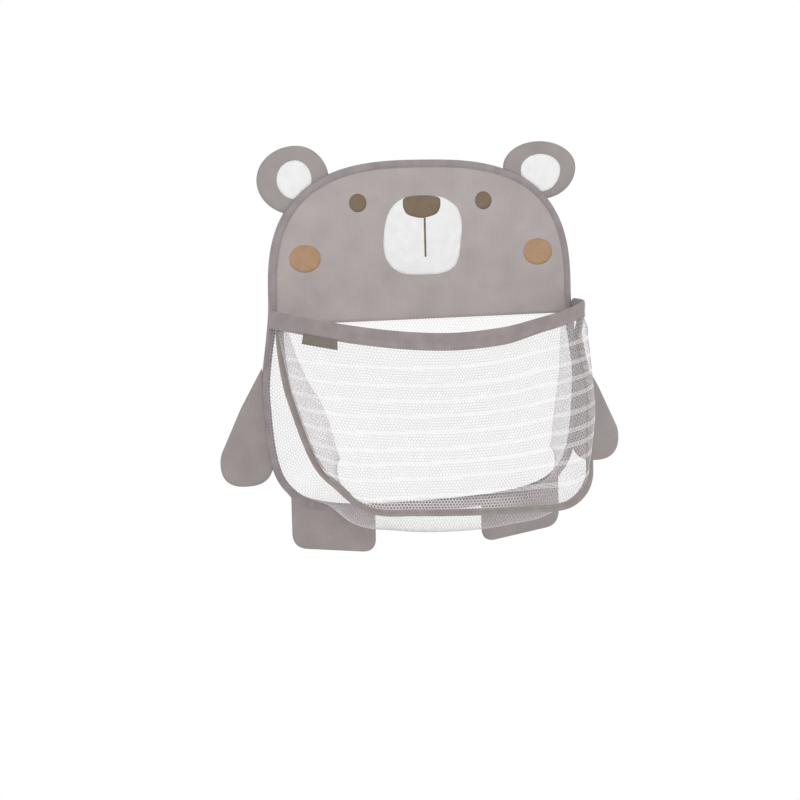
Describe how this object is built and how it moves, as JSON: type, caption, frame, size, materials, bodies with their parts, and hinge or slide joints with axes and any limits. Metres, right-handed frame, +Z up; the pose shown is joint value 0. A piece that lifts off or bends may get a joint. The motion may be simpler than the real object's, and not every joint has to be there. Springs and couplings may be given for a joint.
{
  "type": "bath toy organizer",
  "caption": "Bear-shaped bath toy organizer: a flat padded head above an open net pocket with a wide hem, soft ears, arms and legs, held to a wall by suction cups.",
  "frame": {"origin": "on the wall, midway between the suction cups", "axes": "+X to the viewer's right, +Y into the wall, +Z up"},
  "size_m": [0.4256, 0.1409, 0.4027],
  "materials": {
    "face_cloth": "plain woven cloth, matte",
    "flap_cloth": "plain woven cloth, matte",
    "binding_tape": "ribbed tape, matte",
    "white_net": "knitted net with woven stripes",
    "white_print": "flat printed film",
    "brown_print": "flat printed film",
    "peach_print": "flat printed film",
    "label_cloth": "woven tape, bare",
    "foam": "soft open foam",
    "interlining": "stiff felt",
    "boning": "flat spring strip",
    "wire": "drawn wire",
    "eyelet_metal": "rolled and plated",
    "cup": "clear soft vinyl"
  },
  "bodies": {
    "back": {"body_binding": "binding_tape", "frame_wire": "wire", "head_face_panel": "face_cloth", "head_foam_pad": "foam", "head_back_lining": "face_cloth", "back_net_panel": "white_net", "left_eyelet": "eyelet_metal", "right_eyelet": "eyelet_metal", "muzzle_patch": "white_print", "nose_patch": "brown_print", "mouth_line": "brown_print", "left_eye": "brown_print", "right_eye": "brown_print", "left_cheek": "peach_print", "right_cheek": "peach_print", "left_gusset_side": "white_net", "left_gusset_floor": "white_net", "right_gusset_side": "white_net", "right_gusset_floor": "white_net"},
    "pocket": {"pocket_front_net": "white_net", "pocket_hem": "binding_tape", "hem_boning": "boning", "front_seam_tape": "binding_tape", "side_label": "label_cloth"},
    "left_cup": {"left_suction_cup": "cup"},
    "right_cup": {"right_suction_cup": "cup"},
    "left_ear": {"left_ear_cover": "flap_cloth", "left_ear_interlining": "interlining", "left_ear_backing": "flap_cloth", "left_ear_patch": "white_print"},
    "left_arm": {"left_arm_cover": "flap_cloth", "left_arm_interlining": "interlining", "left_arm_backing": "flap_cloth"},
    "left_leg": {"left_leg_cover": "flap_cloth", "left_leg_interlining": "interlining", "left_leg_backing": "flap_cloth"},
    "right_ear": {"right_ear_cover": "flap_cloth", "right_ear_interlining": "interlining", "right_ear_backing": "flap_cloth", "right_ear_patch": "white_print"},
    "right_arm": {"right_arm_cover": "flap_cloth", "right_arm_interlining": "interlining", "right_arm_backing": "flap_cloth"},
    "right_leg": {"right_leg_cover": "flap_cloth", "right_leg_interlining": "interlining", "right_leg_backing": "flap_cloth"}
  },
  "joints": [
    {"name": "pocket_swing", "type": "hinge", "parent": "back", "child": "pocket", "pos_m": [0, -0.0288, -0.0925], "axis": [1, 0, 0], "range_deg": [-12, 22], "stiffness_Nm_per_rad": 0.25, "springref_deg": -5.73, "deforming": ["left_gusset_side", "left_gusset_floor", "right_gusset_side", "right_gusset_floor"]},
    {"name": "left_ear_bend", "type": "hinge", "parent": "back", "child": "left_ear", "pos_m": [-0.12164, -0.0157, 0.03651], "axis": [0.8005, 0, 0.5994], "range_deg": [-15, 60], "stiffness_Nm_per_rad": 0.03},
    {"name": "right_ear_bend", "type": "hinge", "parent": "back", "child": "right_ear", "pos_m": [0.12164, -0.0157, 0.03651], "axis": [0.8005, 0, -0.5994], "range_deg": [-15, 60], "stiffness_Nm_per_rad": 0.03},
    {"name": "left_arm_bend", "type": "hinge", "parent": "back", "child": "left_arm", "pos_m": [-0.17148, -0.0157, -0.19215], "axis": [-0.0754, 0, 0.9971], "range_deg": [-15, 60], "stiffness_Nm_per_rad": 0.03},
    {"name": "right_arm_bend", "type": "hinge", "parent": "back", "child": "right_arm", "pos_m": [0.17148, -0.0157, -0.19215], "axis": [-0.0754, 0, -0.9971], "range_deg": [-15, 60], "stiffness_Nm_per_rad": 0.03},
    {"name": "left_leg_bend", "type": "hinge", "parent": "back", "child": "left_leg", "pos_m": [-0.1023, -0.0157, -0.28682], "axis": [-0.9735, 0, 0.2288], "range_deg": [-15, 60], "stiffness_Nm_per_rad": 0.03},
    {"name": "right_leg_bend", "type": "hinge", "parent": "back", "child": "right_leg", "pos_m": [0.1023, -0.0157, -0.28682], "axis": [-0.9735, 0, -0.2288], "range_deg": [-15, 60], "stiffness_Nm_per_rad": 0.03},
    {"name": "left_cup_turn", "type": "hinge", "parent": "back", "child": "left_cup", "pos_m": [-0.095, 0, 0], "axis": [0, 1, 0], "continuous": true},
    {"name": "right_cup_turn", "type": "hinge", "parent": "back", "child": "right_cup", "pos_m": [0.095, 0, 0], "axis": [0, 1, 0], "continuous": true}
  ]
}
